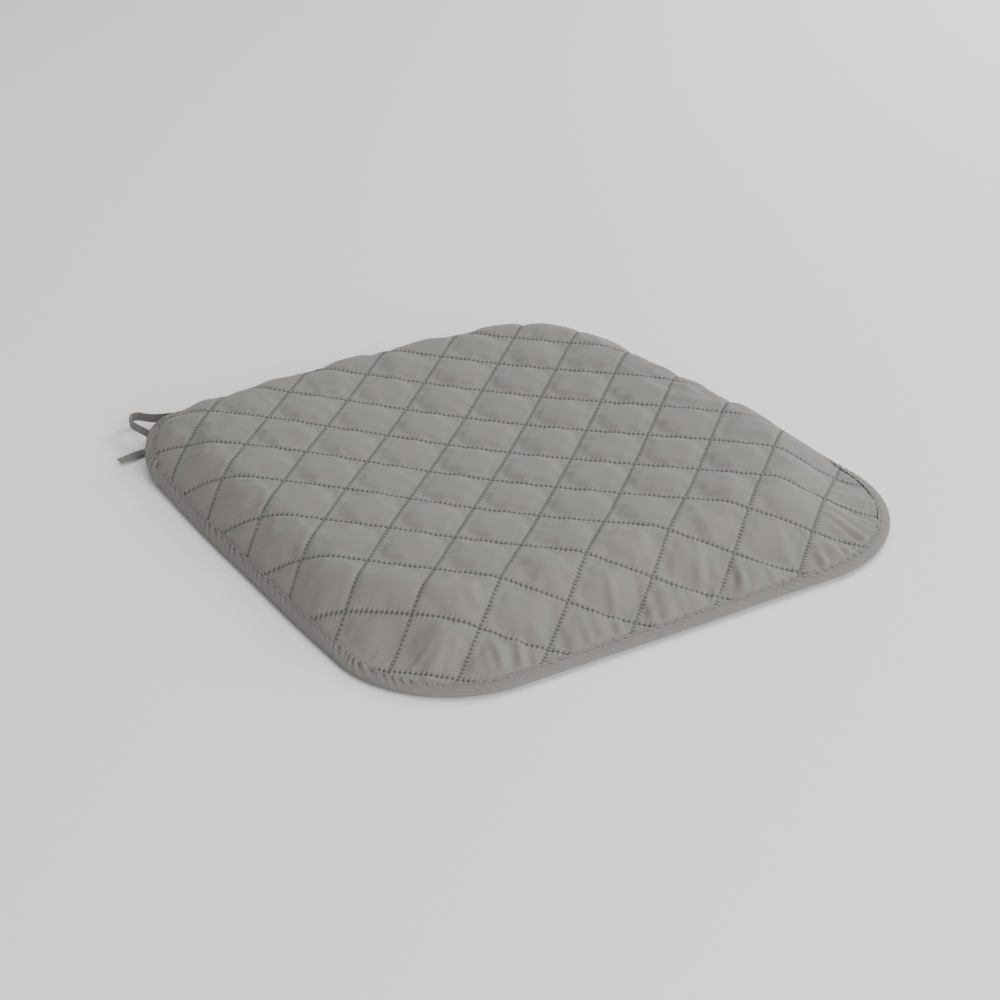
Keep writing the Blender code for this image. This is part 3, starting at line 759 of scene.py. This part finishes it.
def make_tie(name, node, route):
    """Flat woven tape: a rounded flat section carried along the route, turning with its lean."""
    line = smooth_route(route, 12)
    middle = line[:, :3]
    along = unit(np.gradient(middle, axis=0))
    level = unit(np.cross(along, [0.0, 0.0, 1.0]))
    upright = np.cross(level, along)
    turn = (line[:, 3] * math.pi / 2.0)[:, None]
    width = level * np.cos(turn) + upright * np.sin(turn)
    thick = np.cross(width, along)
    angle = 2.0 * math.pi * np.arange(20) / 20
    w = np.sign(np.cos(angle)) * np.abs(np.cos(angle)) ** 0.35 * TIE_WIDTH / 2.0
    h = np.sign(np.sin(angle)) * np.abs(np.sin(angle)) ** 0.8 * TIE_THICKNESS / 2.0
    points = middle[:, None] + width[:, None] * w[None, :, None] + thick[:, None] * h[None, :, None]
    rows, columns = points.shape[:2]
    length = np.concatenate([[0.0], np.cumsum(np.linalg.norm(np.diff(middle, axis=0), axis=1))])
    uv = np.stack(np.broadcast_arrays(length[:, None], w[None, :]), -1).reshape(-1, 2)
    all_points = np.vstack([points.reshape(-1, 3), middle[0], middle[-1]])
    faces = grid_faces(rows, columns, wrap_columns=True).tolist()
    last = (rows - 1) * columns
    for k in range(columns):
        after = (k + 1) % columns
        faces.append((k, after, rows * columns))
        faces.append((last + after, last + k, rows * columns + 1))
    uv = np.vstack([uv, [[0.0, 0.0], [length[-1], 0.0]]])
    made = new_object(name, all_points * MM, faces, uv)
    face_out(made)
    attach(made, "root")
    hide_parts(node)
    return made


# ------------------------------------------------------------------ materials

def linear(hex_colour):
    """sRGB hex to linear red, green, blue and full alpha."""
    parts = [int(hex_colour[k:k + 2], 16) / 255.0 for k in (1, 3, 5)]
    return (*[c / 12.92 if c <= 0.04045 else ((c + 0.055) / 1.055) ** 2.4 for c in parts], 1.0)


def node(tree, kind, settings=None, inputs=None):
    """Adds a shader node, sets its properties, and sets or links its inputs."""
    made = tree.nodes.new(kind)
    for name, value in (settings or {}).items():
        setattr(made, name, value)
    for key, value in (inputs or {}).items():
        if isinstance(value, bpy.types.NodeSocket):
            tree.links.new(value, made.inputs[key])
        else:
            made.inputs[key].default_value = value
    return made


def math_node(tree, operation, *values, clamp=False):
    return node(tree, "ShaderNodeMath", {"operation": operation, "use_clamp": clamp},
                dict(enumerate(values))).outputs[0]


def noise(tree, objects, scale, detail):
    """Noise in object coordinates, `scale` to the metre."""
    inputs = {"Vector": objects, "Scale": scale, "Detail": detail}
    return node(tree, "ShaderNodeTexNoise", {}, inputs).outputs["Fac"]


def mix_colours(tree, factor, first, second):
    """Colour between two; the mix node's colour sockets are its inputs 6 and 7 and its output 2."""
    inputs = {"Factor": factor, 6: first, 7: second}
    return node(tree, "ShaderNodeMix", {"data_type": "RGBA"}, inputs).outputs[2]


def raise_bumps(tree, shader, height):
    """Bumps from a height in millimetres."""
    inputs = {"Strength": 1.0, "Distance": MM, "Height": height}
    bump = node(tree, "ShaderNodeBump", {}, inputs).outputs[0]
    tree.links.new(bump, shader.inputs["Normal"])


def new_material(name):
    made = bpy.data.materials.new(name)
    made.use_nodes = True
    return made, made.node_tree, made.node_tree.nodes["Principled BSDF"]


def brushed_microfibre(name, dark, light, quilted):
    """Brushed polyester microfibre: matt, with a soft pale sheen at grazing angles."""
    made, tree, shader = new_material(name)
    objects = node(tree, "ShaderNodeTexCoord").outputs["Object"]
    mottle = noise(tree, objects, 22.0, 4.0)
    nap = noise(tree, objects, 900.0, 3.0)
    mixed = math_node(tree, "MULTIPLY_ADD", nap, 0.5, math_node(tree, "MULTIPLY", mottle, 0.5))
    colour = mix_colours(tree, mixed, linear(dark), linear(light))
    height = math_node(tree, "MULTIPLY", nap, 0.05)
    if quilted:
        uv = node(tree, "ShaderNodeUVMap", {"uv_map": "UVMap"}).outputs[0]
        split = node(tree, "ShaderNodeSeparateXYZ", {}, {0: uv})
        hole_pits_and_shades, puckers = [], []
        # Each seam lies where one coordinate is whole: a pit at every stitch hole, darkened with painted
        # shade, and small puckers of the cloth between them, both fading with the distance from the seam.
        for near, run in ((0, 1), (1, 0)):
            line = math_node(tree, "ABSOLUTE", math_node(tree, "SUBTRACT", math_node(
                tree, "FRACT", math_node(tree, "ADD", split.outputs[near], 0.5)), 0.5))
            away = math_node(tree, "MULTIPLY", line, SEAM_PITCH)
            phase = math_node(tree, "MULTIPLY", split.outputs[run], SEAM_PITCH / STITCH)
            wave = math_node(tree, "COSINE", math_node(tree, "MULTIPLY", phase, 2.0 * math.pi))
            fade = math_node(tree, "POWER", math.e, math_node(tree, "MULTIPLY", away, -0.55))
            puckers.append(math_node(tree, "MULTIPLY", wave, fade))
            close = math_node(tree, "POWER", math.e, math_node(tree, "MULTIPLY", math_node(
                tree, "POWER", away, 2.0), -1.0))
            at_hole = math_node(tree, "POWER", math_node(tree, "MULTIPLY_ADD", wave, 0.5, 0.5), 1.4)
            hole_pits_and_shades.append(math_node(tree, "MULTIPLY", close, at_hole))
        hole_pit_and_shade = math_node(tree, "MAXIMUM", *hole_pits_and_shades)
        ridge = math_node(tree, "ADD", *puckers)
        # Painted shade: the cloth colour is drawn towards near black in each needle hole, where the pit
        # would be shaded; the same mask also sinks the bump height.
        colour = mix_colours(tree, math_node(tree, "MULTIPLY", hole_pit_and_shade, 0.65), colour, linear("#2E2C2A"))
        height = math_node(tree, "ADD", height, math_node(tree, "MULTIPLY", ridge, -0.34))
        height = math_node(tree, "SUBTRACT", height, math_node(tree, "MULTIPLY", hole_pit_and_shade, 0.8))
    tree.links.new(colour, shader.inputs["Base Color"])
    raise_bumps(tree, shader, height)
    shader.inputs["Roughness"].default_value = 0.85
    shader.inputs["Sheen Weight"].default_value = 0.12
    shader.inputs["Sheen Roughness"].default_value = 0.5
    return made


def woven_tape(name, dark, light, spacing_mm):
    """Woven cotton-polyester tape: fine ribs across its length, matt."""
    made, tree, shader = new_material(name)
    uv = node(tree, "ShaderNodeUVMap", {"uv_map": "UVMap"}).outputs[0]
    objects = node(tree, "ShaderNodeTexCoord").outputs["Object"]
    split = node(tree, "ShaderNodeSeparateXYZ", {}, {0: uv})
    ribs, wefts = (math_node(tree, "SINE", math_node(
        tree, "MULTIPLY", split.outputs[k], 2.0 * math.pi / spacing_mm)) for k in (0, 1))
    weave = math_node(tree, "MULTIPLY", ribs, wefts)
    mottle = noise(tree, objects, 60.0, 5.0)
    factor = math_node(tree, "MULTIPLY_ADD", weave, 0.18, mottle, clamp=True)
    colour = mix_colours(tree, factor, linear(dark), linear(light))
    height = math_node(tree, "MULTIPLY", weave, 0.08)
    tree.links.new(colour, shader.inputs["Base Color"])
    raise_bumps(tree, shader, height)
    shader.inputs["Roughness"].default_value = 0.85
    shader.inputs["Sheen Weight"].default_value = 0.15
    return made


def spun_thread(name, dark, light):
    """Spun polyester sewing thread: a fine twist, slightly darker than the cloth it is sunk in."""
    made, tree, shader = new_material(name)
    objects = node(tree, "ShaderNodeTexCoord").outputs["Object"]
    colour = mix_colours(tree, noise(tree, objects, 1500.0, 2.0), linear(dark), linear(light))
    tree.links.new(colour, shader.inputs["Base Color"])
    shader.inputs["Roughness"].default_value = 0.7
    return made


# ------------------------------------------------------------------ stage

def add_floor():
    """Pale matt paper, 12 m square."""
    size = 6.0
    corners = [(-size, -size, 0), (size, -size, 0), (size, size, 0), (-size, size, 0)]
    floor = new_object("floor", corners, [(0, 1, 2, 3)])
    made, _, shader = new_material("pale_paper_floor")
    shader.inputs["Base Color"].default_value = linear("#EDEDED")
    shader.inputs["Roughness"].default_value = 0.9
    floor.data.materials.append(made)


def add_light(name, place, size, power):
    """A soft round light aimed at the pad; size in metres, power in watts."""
    data = bpy.data.lights.new(name, "AREA")
    data.shape = "DISK"
    data.size = size
    data.energy = power
    made = bpy.data.objects.new(name, data)
    made.location = place
    made.rotation_euler = Vector(place).to_track_quat("Z", "Y").to_euler()
    bpy.context.scene.collection.objects.link(made)


def add_world(strength):
    world = bpy.data.worlds.new("studio")
    world.use_nodes = True
    world.node_tree.nodes["Background"].inputs["Color"].default_value = linear("#F2F2F4")
    world.node_tree.nodes["Background"].inputs["Strength"].default_value = strength
    bpy.context.scene.world = world


# ------------------------------------------------------------------ build

def dress(obj, material, slot, *nodes):
    """Gives a piece its material, fixes it to the pad and stands it in for CAD nodes; its slot is not used.
    """
    obj.data.materials.clear()
    obj.data.materials.append(material)
    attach(obj, "root")
    if nodes:
        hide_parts(*nodes)


def nodes_named(start):
    return [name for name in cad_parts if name.startswith(start)]


def main():
    add_camera()
    tape = woven_tape("woven_tie_tape", "#5E5A56", "#76726D", 0.9)
    for name, cad_node, route in (
            ("left_loop_tape", "tie_left_loop", LEFT_LOOP_ROUTE),
            ("left_tail_tape", "tie_left_tail", LEFT_TAIL_ROUTE),
            ("right_outer_tape", "tie_right_outer", RIGHT_OUTER_ROUTE),
            ("right_tail_tape", "tie_right_tail", RIGHT_TAIL_ROUTE)):
        tie = make_tie(name, cad_node, route)
        tie.data.materials.append(tape)

    cover = brushed_microfibre("brushed_polyester_microfibre", "#686560", "#787570", quilted=True)
    binding_cloth = brushed_microfibre("microfibre_bias_tape", "#64615D", "#74716C", quilted=False)
    thread = spun_thread("spun_polyester_thread", "#605D58", "#74716B")
    lining = brushed_microfibre("brushed_polyester_lining", "#66635F", "#76736E", quilted=False)

    top = make_top()
    dress(top, cover, "cover_fabric", "quilted_top_cover", "top_wadding", "foam_core")
    dress(make_quilting_stitches("a"), thread, "thread", *nodes_named("quilting_seam_back"))
    dress(make_quilting_stitches("b"), thread, "thread", *nodes_named("quilting_seam_forward"))
    dress(make_binding(), binding_cloth, "binding_tape", "edge_binding")
    dress(make_binding_stitches("binding_stitches_top", 1.0), thread, "thread",
          "binding_stitching_top")
    dress(make_binding_stitches("binding_stitches_under", -1.0), thread, "thread",
          "binding_stitching_under")
    dress(make_underside(), lining, "lining", "bottom_cover")
    dress(make_corner_tack(), thread, "thread", "tie_tack_left_outer")
    for name in ("tie_tack_left_inner", "tie_tack_right_inner", "tie_tack_right_outer"):
        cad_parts[name].data.materials.clear()
        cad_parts[name].data.materials.append(thread)

    add_floor()
    add_world(0.62)
    add_light("key", (1.9, 0.55, 1.0), 1.0, 35.0)
    add_light("front", (0.1, -2.0, 0.9), 1.4, 50.0)
    add_light("top", (0.0, 0.3, 2.4), 1.6, 16.0)


main()
